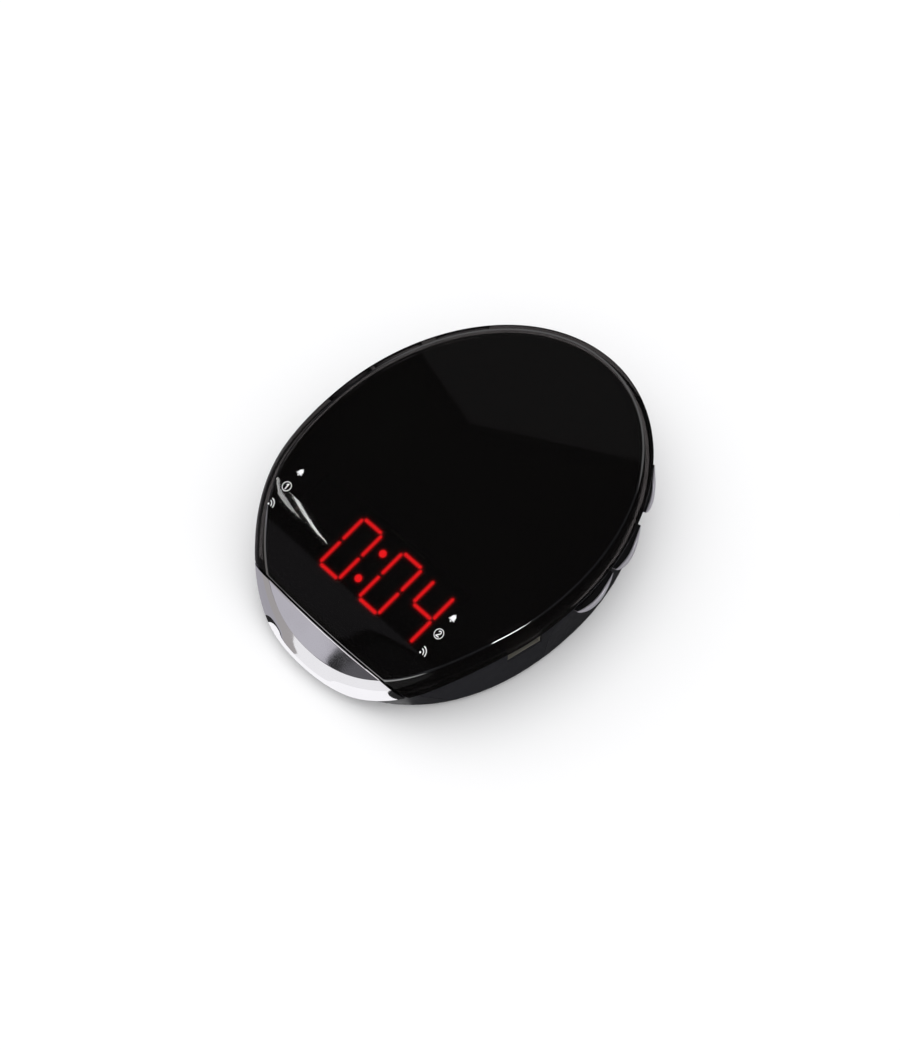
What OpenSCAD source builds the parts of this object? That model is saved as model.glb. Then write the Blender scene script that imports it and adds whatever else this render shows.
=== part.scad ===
/* [Body outline] */
// Half of the body's width at its widest station
half_w = 58.4; // [56:0.2:61]
// Reach of the outline behind the widest station
back_reach = 76.3; // [74:0.1:78]
// Reach of the outline ahead of the widest station
front_reach = 74.1; // [72:0.1:76]
// Squareness of the front half of the outline, 2 is an ellipse
front_round = 2.2; // [2:0.05:2.4]

/* [Top surface] */
// Height of the top where it starts to bend down
top_h = 32.9; // [32:0.1:34]
// Fall of the top towards the front, in degrees
top_tilt = 1.3; // [0.5:0.1:2]
// Slope of the front, in degrees
slope = 39.5; // [37:0.5:41]
// Radius of the bend between the top and the slope
bend_r = 42; // [38:1:46]
// Where the bend starts
bend_y = -29.1; // [-31:0.1:-27]

/* [Window cover] */
// Width of the rounded rim
rim_in = 3.9; // [3.4:0.1:4.2]
// Height of the rounded rim
rim_h = 4.6; // [4:0.1:4.8]
// Angle of the crease where the rim begins
crease = 14; // [8:1:18]
// Depth of the rim down to the parting seam
skirt_drop = 6.2; // [5.8:0.1:6.6]
// Set-in of the rim's lower edge
skirt_in = 0.45; // [0.3:0.05:0.6]
// Wall of the window cover
cover_t = 2.2; // [1.8:0.1:2.4]

/* [Snooze bar] */
// Where the cover ends and the bar begins
cut_at = -63.7; // [-65:0.1:-62]
// Forward bow of the joint between cover and bar
cut_bow = 0.6; // [0:0.1:1]
// Gap between cover and bar
cut_gap = 0.5; // [0.4:0.1:0.8]
// Height of the bar's lower edge at the front
bar_low = 3.4; // [3.2:0.1:3.8]
// Height of the bar's nose above that edge
bar_nose = 4.4; // [4:0.1:4.8]
// Gap under the bar, which it moves into
bar_gap = 1.1; // [1:0.1:1.4]
// Wall of the bar
bar_t = 2; // [1.8:0.1:2.2]

/* [Base] */
// Height of the base's underside above the table
base_z = 1.2; // [1:0.1:1.4]
// Thickness of the floor
floor_t = 2; // [1.8:0.1:2.2]
// Set-in of the side wall at the seam
wall_top_in = 0.6; // [0.5:0.1:0.8]
// Set-in of the side wall at the bottom
wall_low_in = 2.1; // [2:0.1:2.3]
// Set-in of the inside of the side wall
wall_inner = 3.6; // [3.4:0.1:3.8]
// Thickness of the side panels
panel_t = 1.2; // [1:0.1:1.3]

/* [Buttons] */
// Length of a side button
button_l = 19.4; // [18:0.2:19.6]
// Depth of the crescent below the seam
button_h = 7; // [6:0.1:7.4]
// Depth of the finger recess inside the crescent
recess_h = 3.9; // [3:0.1:4.4]
// How far a button stands out of the wall
button_bulge = 1.9; // [1.4:0.1:2.2]
// Travel of a side button
button_travel = 0.8; // [0.5:0.1:0.8]

/* [Display] */
// Tilt of the display, in degrees
display_tilt = 20; // [18:1:21]
// Height of the display's face at its centre
display_z = 25; // [24.6:0.1:25.2]
// Height of a digit between its bar centres
digit_h = 20.9; // [20:0.1:21.2]
// Width of a digit between its bar centres
digit_w = 9.1; // [8.8:0.1:9.4]
// Width of one bar of a digit
bar_w = 1.9; // [1.4:0.1:2]
// Slant of the digits, in degrees
digit_slant = 4; // [0:0.5:8]

/* [Electronics] */
// Top of the main board
board_z = 19.3; // [19.2:0.1:19.4]
// Thickness of the boards
board_t = 1.6; // [1.2:0.1:1.6]
// Diameter of the speaker
speaker_d = 50; // [48:1:52]
// Height of the speaker
speaker_h = 13.4; // [13:0.1:13.6]
// Diameter of a backup cell
cell_d = 10.4; // [10:0.1:10.5]
// Length of a backup cell
cell_l = 44; // [43.5:0.1:44.5]

/* [Hidden] */
sides = [1, -1];

// The widest station sits so that the whole body is centred on the origin
widest_y = (front_reach - back_reach) / 2;
slope_y = bend_y - bend_r * (sin(slope) - sin(top_tilt));
slope_h = top_h - bend_r * (cos(top_tilt) - cos(slope));
floor_z = base_z + floor_t;
cut_half = cut_gap / 2;
seam_gap = 0.3;
fit_gap = 0.35;
arc_steps = 60;
cut_steps = 18;
outline_steps = 96;

// Side buttons: angle of each along the outline, height of the button axis
button_angles = [4.9, 20.6, 40.2];
button_top = 26.5;
rod_z = 23.3;
rod_tip_r = 1.75;
switch_size = 6;
switch_depth = 3.6;
switch_front = -8.2;

// Board, display and screw places
board_front = -31;
board_back = 60;
board_in = 8;
screw_spots = [[43, -36], [39, 33]];
foot_spots = [[36, -44], [27, 57]];
boss_r = 3.6;
screw_r = 1.4;
display_x = -1.7;
display_y = -40.6;
digit_rise = 1;
digit_pitch = 15;
colon_pitch = 18.8;
module_w = 66;
module_low = -12.5;
module_high = 14;
module_t = 6.5;
speaker_y = -8.5;
cell_y = 43.8;
cell_gap = 11;
bay_half_w = 12.2;
bay_half_l = 24.5;
bay_h = 11.6;
door_half_w = 15;
door_t = 1.6;
usb_angle = -16.5;
usb_w = 13.1;
usb_h = 5.7;
usb_l = 14;
usb_wall = 0.4;
jack_angle = 114;
grommet_angle = 66;

// Outline point at parameter angle t, set in from the edge
function edge(t, ins) =
    let (c = cos(t), s = sin(t), n = s >= 0 ? 2 : front_round,
         reach = (s >= 0 ? back_reach : front_reach) - ins)
    [(half_w - ins) * sign(c) * pow(abs(c), 2 / n), widest_y + reach * sign(s) * pow(abs(s), 2 / n)];

// Rim profile from the crease, k = 0, to its upright lower part, k = 1, as set-in and drop
function rim_point(k) =
    let (u = 1 - k, in1 = rim_in - 2.3 * cos(crease), drop1 = -2.3 * sin(crease))
    [u * u * u * rim_in + 3 * u * u * k * in1,
        3 * u * u * k * drop1 - 3 * u * k * k * 1.5 - k * k * k * rim_h];

// Direction, in degrees, of the outline's outward normal at parameter angle t
function edge_dir(t) =
    let (a = edge(t - 0.5, 0), b = edge(t + 0.5, 0)) atan2(a[0] - b[0], b[1] - a[1]);

// Height of the top surface: a gentle tilt, a round bend, then the front slope
function top_z(y) =
    y >= bend_y ? top_h + (y - bend_y) * tan(top_tilt)
    : y >= slope_y
        ? let (s = (bend_y - y) / bend_r + sin(top_tilt))
          top_h - bend_r * (cos(top_tilt) - sqrt(1 - s * s))
        : slope_h - (slope_y - y) * tan(slope);

// Where the cut, square to the slope, meets a surface lying dz from the top surface
function cut_y(dz, side) = cut_at - dz * sin(slope) * cos(slope) + side * cut_half * cos(slope);

// Angle below the width axis at which the outline reaches the line y
function corner(ins, y) = asin(pow((widest_y - y) / (front_reach - ins), front_round / 2));

// Lower edge of the bar, and the top of the base beneath it
function bar_edge_z(y) = max(top_z(y) - skirt_drop, bar_low);
function base_top_z(y) =
    y < cut_y(-skirt_drop, 0) ? bar_edge_z(y) - bar_gap : top_z(y) - skirt_drop - seam_gap;

// One closed ring of the cover: round the sides and back, then along the cut, held back from it by lip
function cover_ring(ins, dz, lip = 0) =
    let (y0 = cut_y(dz, 1) + lip, a = corner(ins, y0), x0 = edge(-a, ins)[0])
    concat(
        [for (i = [0:arc_steps])
            let (p = edge(-a + i * (180 + 2 * a) / arc_steps, ins)) [p[0], p[1], top_z(p[1]) + dz]],
        [for (i = [1:cut_steps - 1])
            let (x = x0 * (2 * i / cut_steps - 1), y = y0 - cut_bow * (1 - pow(x / x0, 2)))
            [x, y, top_z(y) + dz]]
    );

// The same ring drawn in towards the middle of the top
function shrunk_ring(ins, dz, k, lip = 0) =
    [for (p = cover_ring(ins, dz, lip)) [p[0] * k, p[1] * k, top_z(p[1] * k) + dz]];

// One row of the bar, from its left corner round the nose to its right corner
function bar_row(ins, dz) =
    let (a = corner(ins, cut_y(dz, -1)) + 0.4, sweep = 180 - 2 * a)
    [for (i = [0:arc_steps / 2])
        let (p = edge(180 + a + i * sweep / (arc_steps / 2), ins),
             low = bar_low + bar_nose * (1 + dz / skirt_drop))
        [p[0], p[1], max(top_z(p[1]) + dz, low)]];

// The bar's row along the cut, and rows between it and the crease
function cut_row(ins, dz) =
    let (y0 = cut_y(dz, -1), x0 = edge(-corner(ins, y0), ins)[0] - 0.4)
    [for (i = [0:arc_steps / 2])
        let (x = x0 * (4 * i / arc_steps - 1), y = y0 - cut_bow * (1 - pow(x / x0, 2)))
        [x, y, top_z(y) + dz]];
function between_row(near, far, k, dz) =
    [for (i = [0:len(near) - 1])
        let (p = near[i] * (1 - k) + far[i] * k)
        [p[0], p[1], max(top_z(p[1]), bar_low + bar_nose) + dz]];

// Closed solid through rings that run anticlockwise seen from above, first ring uppermost.
// With two tips the ends close to those points, otherwise each end is one flat face
module ring_solid(rings, tips = []) {
    n = len(rings[0]);
    last = (len(rings) - 1) * n;
    tip = last + n;
    walls = [for (r = [0:n:last - n], i = [0:n - 1], half = [0, 1])
        let (a = r + i, b = r + (i + 1) % n) half == 0 ? [a, b, b + n] : [a, b + n, a + n]];
    flat_ends = [[for (i = [0:n - 1]) n - 1 - i], [for (i = [0:n - 1]) last + i]];
    fans = [for (i = [0:n - 1]) let (j = (i + 1) % n) each [[j, i, tip], [last + i, last + j, tip + 1]]];
    polyhedron(
        points = concat([for (r = rings) each r], tips),
        faces = concat(walls, len(tips) > 0 ? fans : flat_ends),
        convexity = 8
    );
}

// Flat outline of the body, set in from the edge
module outline(ins) {
    polygon([for (i = [0:outline_steps - 1]) edge(i * 360 / outline_steps, ins)]);
}

// Everything whose side profile lies between two heights that depend on y
module side_band(low, high, y0 = -90, y1 = 90, step = 2, width = 160) {
    ys = [for (y = [y0:step:y1]) y];
    rotate([90, 0, 90])
    translate([0, 0, -width / 2])
    linear_extrude(width)
    polygon(concat([for (y = ys) [y, high(y)]], [for (i = [len(ys) - 1:-1:0]) [ys[i], low(ys[i])]]));
}

// The base's outer form, grown inwards by extra
module base_form(extra) {
    hull() {
        translate([0, 0, base_z]) linear_extrude(0.01) outline(wall_low_in + 1.6 + extra);
        translate([0, 0, base_z + 1.9]) linear_extrude(0.01) outline(wall_low_in + extra);
        translate([0, 0, top_h + 4]) linear_extrude(0.01) outline(wall_top_in + extra);
    }
}

// Side view of a side panel, from the bar's tip to the curved rear seam
module panel_region(side, grow) {
    rear = [for (i = [0:8]) [-15.6 + 5.6 * pow(i / 8, 2), floor_z + i * 3.3]];
    translate([side > 0 ? 20 : -80, 0, 0])
    rotate([90, 0, 90])
    linear_extrude(60)
    offset(delta = grow)
    polygon(concat([[-62, 14.4], [-54.8, 9.2], [-47, floor_z]], rear, [[-10, 40], [-62, 40]]));
}

// Moves to a place on the side wall, with +X along the outward normal
module at_edge(t, z) {
    p = edge(t, 0);
    translate([p[0], p[1], z]) rotate([0, 0, edge_dir(t)]) children();
}

// Front view of a half moon that hangs from the seam, its straight edge carried up by rise
function moon(depth, rise) = concat(
    [for (i = [0:24]) let (u = 1 - i / 12) [u * button_l / 2, -depth * pow(1 - pow(abs(u), 2.2), 0.7)]],
    [[-button_l / 2, rise], [button_l / 2, rise]]
);

module crescent(grow) {
    offset(delta = grow)
    difference() {
        polygon(moon(button_h, 0));
        translate([0, 0.01]) polygon(moon(recess_h, 1));
    }
}

module moon_prism(from, to) {
    translate([from, 0, button_top])
    rotate([90, 0, 90])
    linear_extrude(to - from)
    children();
}

module button_cap(t) {
    swing = 27;
    color("#b9b7bf")
    at_edge(t, 0) {
        intersection() {
            moon_prism(-2.6, 4) crescent(0);
            translate([button_bulge - swing, 0, 0]) cylinder(r = swing, h = 40, $fn = 128);
        }
        moon_prism(-4.8, -2.5)
        intersection() {
            crescent(-0.5);
            translate([-7, -10]) square([14, 10]);
        }
    }
}

// Black plate behind a cap, with the rod that works its switch
module button_carrier(t) {
    color("#2c2c2e")
    at_edge(t, 0) {
        translate([-5.8, -8.7, button_top - button_h - 0.4]) cube([1, 17.4, button_h]);
        translate([-7, 0, rod_z]) rotate([0, 90, 0]) cylinder(r = 2.2, h = 1.3, $fn = 32);
        translate([switch_front - 1.4, 0, rod_z])
        rotate([0, 90, 0])
        cylinder(r = rod_tip_r, h = 2.6, $fn = 32);
    }
}

module side_switch(t) {
    half = switch_size / 2;
    leg = rod_z - half - board_z;
    color("#26272a")
    at_edge(t, rod_z)
    difference() {
        union() {
            translate([switch_front - switch_depth, -half, -half])
            cube([switch_depth, switch_size, switch_size]);
            for (v = [-half, half - 1])
                translate([switch_front - switch_depth, v, -half - leg])
                cube([switch_depth - 0.6, 1, leg + 0.1]);
        }
        rotate([0, 90, 0])
        translate([0, 0, switch_front - 1.6 - button_travel])
        cylinder(r = rod_tip_r + 0.07, h = 3, $fn = 32);
    }
}

module window_cover() {
    inner_in = skirt_in + 1.7;
    rings = concat(
        [for (k = [0.15:0.15:0.9]) shrunk_ring(rim_in, 0, k)],
        [for (k = [0:0.125:1]) let (r = rim_point(k)) cover_ring(r[0], r[1])],
        [cover_ring(skirt_in, -skirt_drop), cover_ring(inner_in, -skirt_drop, 1.7)],
        [cover_ring(inner_in, -rim_h, 1.7), cover_ring(rim_in - 0.3, -cover_t - 0.5, 1.9)],
        [cover_ring(rim_in + 0.6, -cover_t, 2.2)],
        [for (k = [0.9:-0.15:0.15]) shrunk_ring(rim_in + 0.6, -cover_t, k, 2.2)]
    );
    color("#0a0a0c") ring_solid(rings, [[0, 0, top_z(0)], [0, 0, top_z(0) - cover_t]]);
}

// Raised ink marks on the cover: a bell, an alarm number and radio waves
module window_legends() {
    spots = [[-41.8, -33.6], [-41.8, -40.2], [-41.8, -47.1], [33.8, -36.7], [33.8, -43.3], [33.8, -50]];
    color("#e8e8ea")
    for (i = [0:5])
        let (p = spots[i], z = top_z(p[1]) + 0.03, tilt = atan((top_z(p[1] + 1) - top_z(p[1] - 1)) / 2))
        translate([p[0], p[1], z])
        rotate([tilt, 0, 0])
        linear_extrude(0.08)
        mark(i % 3, i < 3 ? 1 : 2);
}

module mark(kind, number) {
    if (kind == 0) {
        circle(r = 0.55, $fn = 24);
        polygon([[-0.9, -0.5], [0.9, -0.5], [0.5, 0.2], [-0.5, 0.2]]);
    }
    if (kind == 1)
        for (i = [1:number])
            translate([(i - (number + 1) / 2) * 0.9, 0])
            square([0.4, 1.6], center = true);
    if (kind == 2)
        for (i = [0:2]) translate([i * 0.6 - 0.6, 0]) square([0.3, 0.7 + 0.5 * i], center = true);
}

module upper_chassis() {
    color("#1b1b1d")
    difference() {
        union() {
            intersection() {
                side_band(function(y) top_z(y) - cover_t - 1.9,
                    function(y) top_z(y) - cover_t - 0.55, -56, 80, 2);
                linear_extrude(60) outline(rim_in + 1);
            }
            for (p = screw_spots, s = sides)
                translate([s * p[0], p[1], board_z])
                cylinder(r = boss_r, h = top_z(p[1]) - cover_t - 1.2 - board_z, $fn = 32);
        }
        translate([display_x - module_w / 2 - 1, -70, 10]) cube([module_w + 2, 44, 40]);
        for (p = screw_spots, s = sides)
            translate([s * p[0], p[1], board_z - 1]) cylinder(r = screw_r + 0.05, h = 8, $fn = 24);
    }
}

module snooze_bar() {
    outer_crease = bar_row(rim_in, 0);
    inner_crease = bar_row(rim_in + 1.2, -bar_t);
    front = cut_row(rim_in, 0);
    inner_front = cut_row(rim_in + 1.2, -bar_t);
    low_edge = [for (p = bar_row(skirt_in + 0.4, -skirt_drop)) [p[0], p[1], bar_edge_z(p[1])]];
    low_inner = [for (p = bar_row(skirt_in + 1.9, -skirt_drop)) [p[0], p[1], bar_edge_z(p[1])]];
    rows = concat(
        [front, between_row(front, outer_crease, 0.33, 0), between_row(front, outer_crease, 0.67, 0)],
        [for (k = [0:0.125:1]) let (r = rim_point(k)) bar_row(r[0], r[1])],
        [low_edge, low_inner, bar_row(skirt_in + 2.1, -bar_t - 2.2), inner_crease],
        [between_row(inner_front, inner_crease, 0.5, -bar_t), inner_front]
    );
    count = len(rows[0]);
    color("#d6d4dc") {
        ring_solid([for (i = [count - 1:-1:0]) [for (r = rows) r[i]]]);
        for (s = sides) bar_guide(s * 17);
        bar_guide(0);
    }
}

// Frame square to the slope under the bar, with +Z out of the slope
module on_slope(x, down) {
    translate([x, cut_at - down * cos(slope), top_z(cut_at) - down * sin(slope)])
    rotate([slope, 0, 0])
    children();
}

module bar_guide(x) {
    on_slope(x, 4) translate([0, 0, -6.4]) cylinder(r = 1.6, h = 5.2, $fn = 32);
}

module snooze_stem() {
    color("#2c2c2e")
    on_slope(0, 4) translate([0, 0, -7.6]) cylinder(r = 1.3, h = 1.2, $fn = 32);
}

module snooze_switch() {
    color("#26272a")
    difference() {
        on_slope(0, 4) translate([-3, -2, -10.2]) cube([6, 5, 2.9]);
        on_slope(0, 4) translate([0, 0, -8.7]) cylinder(r = 1.37, h = 3, $fn = 32);
    }
}

module speaker_slots() {
    for (i = [-5:5])
        let (half = sqrt(pow(speaker_d / 2 - 4, 2) - pow(i * 3.8, 2)))
        hull()
        for (s = sides) translate([s * (half - 1), speaker_y + i * 3.8]) circle(r = 0.9, $fn = 16);
}

module base_housing() {
    shelf = 0.2;
    color("#3a3b3f")
    difference() {
        union() {
            difference() {
                intersection() {
                    base_form(0);
                    side_band(function(y) 0, function(y) base_top_z(y), -80, 80, 1);
                }
                translate([0, 0, floor_z])
                linear_extrude(60)
                intersection() {
                    outline(wall_inner);
                    translate([-80, -69]) square([160, 160]);
                }
                for (s = sides)
                    difference() {
                        intersection() {
                            translate([s * 60, 0, 0]) cube([100, 160, 100], center = true);
                            panel_region(s, shelf);
                        }
                        base_form(panel_t + shelf);
                    }
            }
            for (p = screw_spots, s = sides)
                translate([s * p[0], p[1], base_z])
                cylinder(r = boss_r, h = board_z - board_t - base_z, $fn = 32);
            base_bay();
            for (a = [30, 150, 270])
                translate([0, speaker_y, floor_z - 0.1])
                rotate([0, 0, a])
                translate([speaker_d / 2 + 3, 0, 0])
                cylinder(r = 2.2, h = 2.1, $fn = 24);
        }
        base_holes();
    }
}

// Walls round the backup cells and the screw counterbores are cut by base_holes
module base_bay() {
    translate([-bay_half_w - 1.2, cell_y - bay_half_l - 1.2, base_z])
    difference() {
        cube([2 * bay_half_w + 2.4, 2 * bay_half_l + 2.4, bay_h + 3.2]);
        translate([1.2, 1.2, -1]) cube([2 * bay_half_w, 2 * bay_half_l, bay_h + 2.8]);
    }
}

module base_holes() {
    gap = 0.3;
    for (p = screw_spots, s = sides) {
        translate([s * p[0], p[1], 0]) cylinder(r = screw_r + 0.3, h = 40, $fn = 24);
        translate([s * p[0], p[1], 0]) cylinder(r = 2.9, h = 10, $fn = 32);
    }
    for (p = foot_spots, s = sides)
        translate([s * p[0], p[1], 0]) cylinder(r = 5.1, h = base_z + 0.5, $fn = 48);
    translate([0, 0, 0]) linear_extrude(10) speaker_slots();
    translate([-bay_half_w, cell_y - bay_half_l, 0]) cube([2 * bay_half_w, 2 * bay_half_l, floor_z + 1]);
    translate([-door_half_w - gap, cell_y - bay_half_l - 2 - gap, 0])
    cube([2 * (door_half_w + gap), 60, base_z + door_t + gap]);
    for (t = button_angles)
        for (s = sides)
            mirror([s > 0 ? 0 : 1, 0, 0])
            at_edge(t, 0)
            moon_prism(-8, 6)
            offset(delta = fit_gap)
            polygon(moon(button_h, 6));
    at_edge(jack_angle, board_z + 4.6)
    rotate([0, 90, 0]) cylinder(r = 3.9, h = 12, center = true, $fn = 48);
    at_edge(grommet_angle, 14)
    rotate([0, 90, 0]) cylinder(r = 2.6, h = 12, center = true, $fn = 48);
    at_edge(usb_angle, board_z)
    translate([-usb_l, -usb_w / 2 - 0.3, -0.2])
    cube([usb_l + 4, usb_w + 0.6, usb_h + 5]);
}

module side_panel(side) {
    color("#46474c")
    difference() {
        intersection() {
            base_form(0);
            panel_region(side, 0);
            side_band(function(y) 0, function(y) top_z(y) - skirt_drop - seam_gap, -60.4, 20, 1);
        }
        base_form(panel_t);
        if (side > 0)
            at_edge(usb_angle, board_z)
    translate([-usb_l, -usb_w / 2 - 0.3, -0.2])
    cube([usb_l + 4, usb_w + 0.6, usb_h + 5]);
    }
}

module rubber_feet() {
    color("#222224")
    for (p = foot_spots, s = sides)
        translate([s * p[0], p[1], 0])
        rotate_extrude($fn = 48)
        polygon([[0, 0], [4.4, 0], [4.8, 0.4], [5, 1.6], [0, 1.6]]);
}

module housing_screws() {
    color("#8d8f94")
    for (p = screw_spots, s = sides)
        translate([s * p[0], p[1], 0])
        difference() {
            union() {
                translate([0, 0, 8.2]) cylinder(r = 2.7, h = 1.8, $fn = 32);
                translate([0, 0, 10]) cylinder(r = screw_r, h = 15, $fn = 24);
            }
            translate([-1.6, -0.3, 8]) cube([3.2, 0.6, 1]);
            translate([-0.3, -1.6, 8]) cube([0.6, 3.2, 1]);
        }
}

module main_board() {
    color("#1f5a38")
    translate([0, 0, board_z - board_t])
    linear_extrude(board_t)
    difference() {
        intersection() {
            outline(board_in);
            translate([-80, board_front]) square([160, board_back - board_front]);
        }
        for (p = screw_spots, s = sides) translate([s * p[0], p[1]]) circle(r = screw_r + 0.2, $fn = 24);
    }
}

module clock_chip() {
    color("#161618")
    translate([-6, 8, board_z]) {
        translate([-9, -4, 0.5]) cube([18, 8, 3]);
        for (i = [0:13], s = sides) translate([i * 1.27 - 8.5, s * 4.6 - 0.3, 0]) cube([0.5, 0.6, 1.6]);
    }
}

module tuner_can() {
    color("#c3c5c9")
    translate([12, 12, board_z])
    difference() {
        cube([20, 16, 6.5]);
        for (i = [0:1]) translate([6 + 8 * i, 8, 5]) cylinder(r = 1.2, h = 3, $fn = 24);
    }
}

module capacitors() {
    color("#2b3f66")
    for (c = [[-30, -12, 3.1, 8], [-22, -14, 2.5, 7], [-32, 26, 4, 9], [24, -14, 2.5, 7]])
        translate([c[0], c[1], board_z]) {
            cylinder(r = c[2], h = c[3], $fn = 32);
        }
}

module quartz_crystal() {
    color("#cfd0d3")
    translate([-6, -3, board_z + 1.9])
    hull()
    for (s = sides) translate([s * 3.6, 0, -1.9]) cylinder(r = 2.2, h = 3.6, $fn = 32);
}

module heat_sink() {
    color("#9da0a5")
    translate([-34, 2, board_z])
    union() {
        cube([14, 1.4, 8]);
        for (i = [0:4]) translate([i * 3.15, 1.3, 0]) cube([1.4, 5, 8]);
    }
}

module usb_shell() {
    color("#c9cacd")
    at_edge(usb_angle, board_z)
    difference() {
        translate([-usb_l - 2.2, -usb_w / 2, 0]) cube([usb_l, usb_w, usb_h]);
        translate([-usb_l - 1.4, -usb_w / 2 + usb_wall, usb_wall])
        cube([usb_l + 2, usb_w - 2 * usb_wall, usb_h - 2 * usb_wall]);
    }
}

module usb_tongue() {
    color("#161618")
    at_edge(usb_angle, board_z)
    translate([-usb_l - 1.35, -usb_w / 2 + usb_wall + 0.05, usb_wall + 0.05]) {
        cube([2, usb_w - 2 * usb_wall - 0.1, usb_h - 2 * usb_wall - 0.1]);
        translate([0, 0.6, 2.6]) cube([usb_l - 2.6, usb_w - 2 * usb_wall - 1.3, 1.8]);
    }
}

module dc_jack() {
    color("#1d1d1f")
    at_edge(jack_angle, board_z)
    difference() {
        union() {
            translate([-16, -4.5, 0]) cube([11.6, 9, 9]);
            translate([-4.5, 0, 4.6]) rotate([0, 90, 0]) cylinder(r = 3.6, h = 3.6, $fn = 48);
        }
        translate([-14, 0, 4.6]) rotate([0, 90, 0]) cylinder(r = 2.9, h = 20, $fn = 48);
    }
}

module dc_jack_pin() {
    color("#d7b56a")
    at_edge(jack_angle, board_z + 4.6)
    translate([-14, 0, 0])
    rotate([0, 90, 0])
    cylinder(r = 1, h = 10.5, $fn = 32);
}

module aerial_grommet() {
    color("#202022")
    at_edge(grommet_angle, 14)
    rotate([0, 90, 0])
    difference() {
        rotate_extrude($fn = 48)
        polygon([[0, 0.1], [3.6, 0.1], [3.6, -0.4], [2.5, -1.4], [2.5, -4.6],
            [3.6, -4.9], [3.6, -6], [0, -6]]);
        cylinder(r = 1.1, h = 20, center = true, $fn = 32);
    }
}

// Frame on the display's face, x across and y up the face
module on_display(dz) {
    translate([display_x, display_y, display_z])
    rotate([display_tilt, 0, 0])
    translate([0, 0, dz])
    children();
}

module display_module() {
    color("#101012")
    on_display(-module_t)
    translate([-module_w / 2, module_low, 0])
    cube([module_w, module_high - module_low, module_t]);
}

module display_board() {
    color("#1f5a38")
    on_display(-module_t - board_t)
    translate([-module_w / 2 - 1, module_low, 0])
    cube([module_w + 2, module_high - module_low, board_t]);
}

function digit_centres() = [
    -colon_pitch / 2 - digit_pitch, -colon_pitch / 2, colon_pitch / 2, colon_pitch / 2 + digit_pitch
];

// One bar of a digit, pointed at both ends, lying along x
module digit_bar(length) {
    half = length / 2 - 0.35;
    tip = bar_w / 2;
    polygon([[-half, 0], [tip - half, tip], [half - tip, tip],
        [half, 0], [half - tip, -tip], [tip - half, -tip]]);
}

// Bars are numbered top, upper right, lower right, bottom, lower left, upper left, middle
module digit_bars(which) {
    quarter = digit_h / 4;
    multmatrix([[1, tan(digit_slant), 0, 0], [0, 1, 0, 0], [0, 0, 1, 0], [0, 0, 0, 1]])
    for (b = which) {
        if (b == 0) translate([0, 2 * quarter]) digit_bar(digit_w);
        if (b == 1) translate([digit_w / 2, quarter]) rotate(90) digit_bar(digit_h / 2);
        if (b == 2) translate([digit_w / 2, -quarter]) rotate(90) digit_bar(digit_h / 2);
        if (b == 3) translate([0, -2 * quarter]) digit_bar(digit_w);
        if (b == 4) translate([-digit_w / 2, -quarter]) rotate(90) digit_bar(digit_h / 2);
        if (b == 5) translate([-digit_w / 2, quarter]) rotate(90) digit_bar(digit_h / 2);
        if (b == 6) digit_bar(digit_w);
    }
}

// The bars that show 0:04, and the rest
lit_bars = [[], [0, 1, 2, 3, 4, 5], [0, 1, 2, 3, 4, 5], [1, 2, 5, 6]];
dark_bars = [[0, 1, 2, 3, 4, 5, 6], [6], [6], [0, 3, 4]];

module digit_row(bars) {
    on_display(0)
    linear_extrude(0.25)
    for (i = [0:3])
        if (len(bars[i]) > 0) translate([digit_centres()[i], digit_rise]) digit_bars(bars[i]);
}

module digits_lit() {
    color("#ff2418") digit_row(lit_bars);
}

module digits_dark() {
    color("#2a0d0d") digit_row(dark_bars);
}

module colon_dots() {
    color("#ff2418")
    on_display(0)
    for (v = [-5.7, 5.7])
        translate([v * tan(digit_slant), digit_rise + v, 0]) cylinder(r = 1.3, h = 0.25, $fn = 32);
}

module indicator_lamps() {
    color("#c98a2a")
    for (p = [[-36.5, -40.5], [40.2, -41]])
        translate([p[0], p[1], board_z + 3.2])
        union() {
            cylinder(r = 1.2, h = 3, $fn = 32);
            cylinder(r = 1.5, h = 0.8, $fn = 32);
        }
}

module display_ribbon() {
    color("#b8b4a6")
    translate([-8, 0, 0])
    rotate([90, 0, 90])
    linear_extrude(16)
    polygon([[-24.4, 22.6], [-23.4, 22.5], [-22.5, 21.7], [-21.9, 20.3], [-21, 19.4],
        [-17, 19.3], [-17, 19.6], [-20.8, 19.7], [-21.6, 20.5], [-22.2, 21.9], [-23.2, 22.8], [-24.4, 22.9]]);
}

module speaker_basket() {
    r = speaker_d / 2;
    color("#74767b")
    translate([0, speaker_y, floor_z + 0.2])
    rotate_extrude($fn = 96)
    polygon([[r - 3, 0], [r, 0], [r, 1.2], [r - 3, 1.2], [14, 8.4], [12.8, 8.4],
        [12.8, 7.2], [r - 4.4, 0.9]]);
}

module speaker_magnet() {
    color("#3c3c3f")
    translate([0, speaker_y, floor_z + 8.7])
    union() {
        cylinder(r = 14, h = 1, $fn = 64);
        translate([0, 0, 1]) cylinder(r = 12.6, h = 3, $fn = 64);
        translate([0, 0, 4]) cylinder(r = 13.2, h = speaker_h - 12.7, $fn = 64);
    }
}

module speaker_cone() {
    r = speaker_d / 2;
    color("#17171a")
    translate([0, speaker_y, floor_z + 0.2])
    rotate_extrude($fn = 96)
    polygon([[0, 3.2], [4, 3.9], [6, 5.4], [r - 6.5, 1.3], [r - 5, 0.6], [r - 4.8, 0.8],
        [r - 6.3, 1.6], [6.2, 5.9], [5.4, 6], [3.8, 4.4], [0, 3.7]]);
}

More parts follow.
